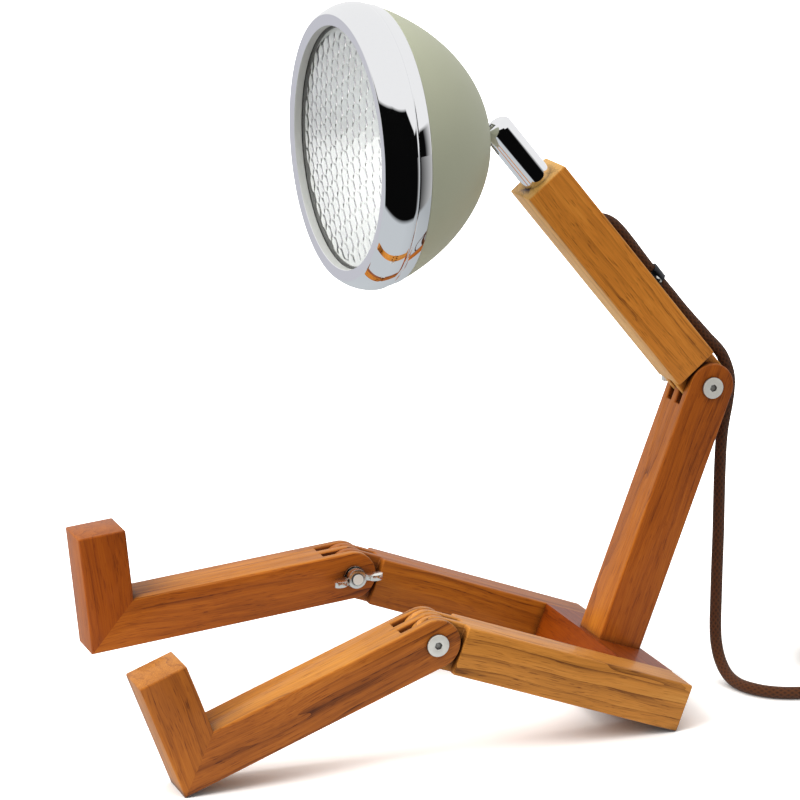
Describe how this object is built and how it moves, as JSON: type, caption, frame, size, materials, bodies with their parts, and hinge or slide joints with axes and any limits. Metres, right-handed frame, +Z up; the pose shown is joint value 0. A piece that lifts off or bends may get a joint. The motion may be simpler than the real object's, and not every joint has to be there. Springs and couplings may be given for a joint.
{
  "type": "figure desk lamp",
  "caption": "Desk lamp shaped like a seated wooden figure, with hinged legs and waist on bolts and wing nuts, and a round reflector head on a ball joint neck.",
  "frame": {"origin": "middle of the lamp on the table it sits on, without its loose cord and plug", "axes": "+Z up, the seated figure faces -Y and its own left hand is at +X"},
  "size_m": [0.1422, 0.4292, 0.3244],
  "materials": {
    "oiled_wood": "glossy clear lacquer over oiled brown hardwood, long straight grain",
    "dowel_wood": "plain unfinished beech",
    "nickel": "nickel plated, satin",
    "spring_steel": "plain spring steel",
    "dark_steel": "blackened steel",
    "chrome": "mirror chrome plate",
    "sage_paint": "matte powder coat in pale grey green",
    "lens": "clear pressed glass with a prism pattern",
    "reflector_silver": "bright polished aluminium",
    "sink_aluminium": "plain turned aluminium",
    "board": "white circuit board",
    "green_board": "green circuit board",
    "emitter": "yellow phosphor under clear resin",
    "black_rubber": "soft black rubber",
    "cup_plastic": "unpigmented bearing plastic",
    "cord_textile": "brown braided textile over the insulation",
    "strap_fabric": "woven black strap",
    "plug_plastic": "black moulded plastic"
  },
  "bodies": {
    "root": {"seat_rail": "oiled_wood", "left_thigh": "oiled_wood", "right_thigh": "oiled_wood", "rail_dowels": "dowel_wood", "torso_bar": "oiled_wood", "torso_bolt": "nickel", "torso_barrel_nut": "nickel", "left_knee_bolt": "nickel", "right_knee_bolt": "nickel", "waist_bolt": "nickel", "hinge_washers": "nickel", "cord_drop": "cord_textile", "cord_coil": "cord_textile", "cord_tail": "cord_textile", "coil_strap": "strap_fabric", "plug_relief": "black_rubber", "plug_body": "plug_plastic", "plug_pins": "nickel"},
    "left_lower_leg": {"left_shin": "oiled_wood", "left_foot": "oiled_wood", "left_heel_dowels": "dowel_wood"},
    "right_lower_leg": {"right_shin": "oiled_wood", "right_foot": "oiled_wood", "right_heel_dowels": "dowel_wood"},
    "left_knee_nut": {"left_knee_wing_nut": "nickel"},
    "right_knee_nut": {"right_knee_wing_nut": "nickel"},
    "waist_nut": {"waist_wing_nut": "nickel"},
    "chest": {"chest_bar": "oiled_wood", "neck_set_screw": "dark_steel", "cord_bush": "black_rubber", "inner_lead": "cord_textile", "cord_clip": "dark_steel", "clip_screws": "nickel", "cord_back_run": "cord_textile"},
    "neck": {"neck_tube": "chrome", "friction_cup": "cup_plastic", "disc_springs": "spring_steel", "spring_collar": "spring_steel"},
    "head": {"ball_stud": "dark_steel", "stud_collar": "dark_steel", "stud_lock_nut": "nickel", "head_shell": "sage_paint", "bezel_ring": "chrome", "lens_glass": "lens", "lens_gasket": "black_rubber", "reflector": "reflector_silver", "heat_sink": "sink_aluminium", "led_board": "board", "led_emitter": "emitter", "touch_board": "green_board"}
  },
  "joints": [
    {"name": "left_knee", "type": "hinge", "parent": "root", "child": "left_lower_leg", "pos_m": [0.0525, -0.01585, 0.05461], "axis": [1, 0, 0], "range_deg": [-41, 49]},
    {"name": "right_knee", "type": "hinge", "parent": "root", "child": "right_lower_leg", "pos_m": [-0.0525, -0.01585, 0.05461], "axis": [1, 0, 0], "range_deg": [-26, 64]},
    {"name": "waist", "type": "hinge", "parent": "root", "child": "chest", "pos_m": [0, 0.13809, 0.14224], "axis": [1, 0, 0], "range_deg": [-75, 30], "deforming": ["cord_drop", "cord_back_run"]},
    {"name": "neck_turn", "type": "hinge", "parent": "chest", "child": "neck", "pos_m": [0, 0.05572, 0.24217], "axis": [0, -0.6361, 0.7716], "range_deg": [-90, 90]},
    {"name": "head_tilt", "type": "hinge", "parent": "neck", "child": "head", "pos_m": [0, 0.03855, 0.263], "axis": [1, 0, 0], "range_deg": [-8, 36]},
    {"name": "left_knee_nut_turn", "type": "hinge", "parent": "root", "child": "left_knee_nut", "pos_m": [0.0415, -0.01585, 0.05461], "axis": [1, 0, 0], "continuous": true},
    {"name": "right_knee_nut_turn", "type": "hinge", "parent": "root", "child": "right_knee_nut", "pos_m": [-0.0415, -0.01585, 0.05461], "axis": [1, 0, 0], "continuous": true},
    {"name": "waist_nut_turn", "type": "hinge", "parent": "root", "child": "waist_nut", "pos_m": [-0.011, 0.13809, 0.14224], "axis": [1, 0, 0], "continuous": true}
  ]
}
